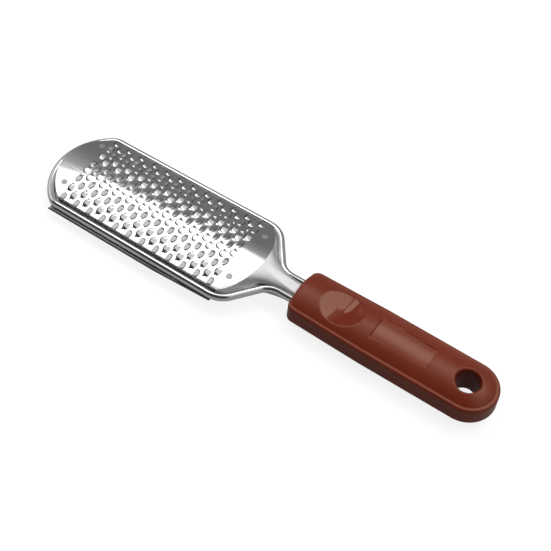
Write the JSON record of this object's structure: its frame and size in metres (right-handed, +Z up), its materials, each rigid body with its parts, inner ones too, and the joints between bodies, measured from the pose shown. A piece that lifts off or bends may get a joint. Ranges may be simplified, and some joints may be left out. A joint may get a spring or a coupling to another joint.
{
  "type": "foot file",
  "caption": "Hand tool for filing hard skin: vaulted steel rasp plates in a bent wire frame, with a crowned plastic handle that has a thumb dish and a hanging hole.",
  "frame": {"origin": "on the table under the middle of the file's box", "axes": "+X from the toe of the head to the end of the handle, +Y across the head, +Z up out of the coarse side"},
  "size_m": [0.2596, 0.062, 0.0183],
  "materials": {
    "wire_steel": "bright polished steel rod",
    "plate_steel": "polished stamped sheet steel",
    "handle_plastic": "satin terracotta plastic with a faint grain"
  },
  "bodies": {
    "root": {"wire_frame": "wire_steel", "coarse_plate": "plate_steel", "fine_plate": "plate_steel", "handle": "handle_plastic"}
  },
  "joints": []
}
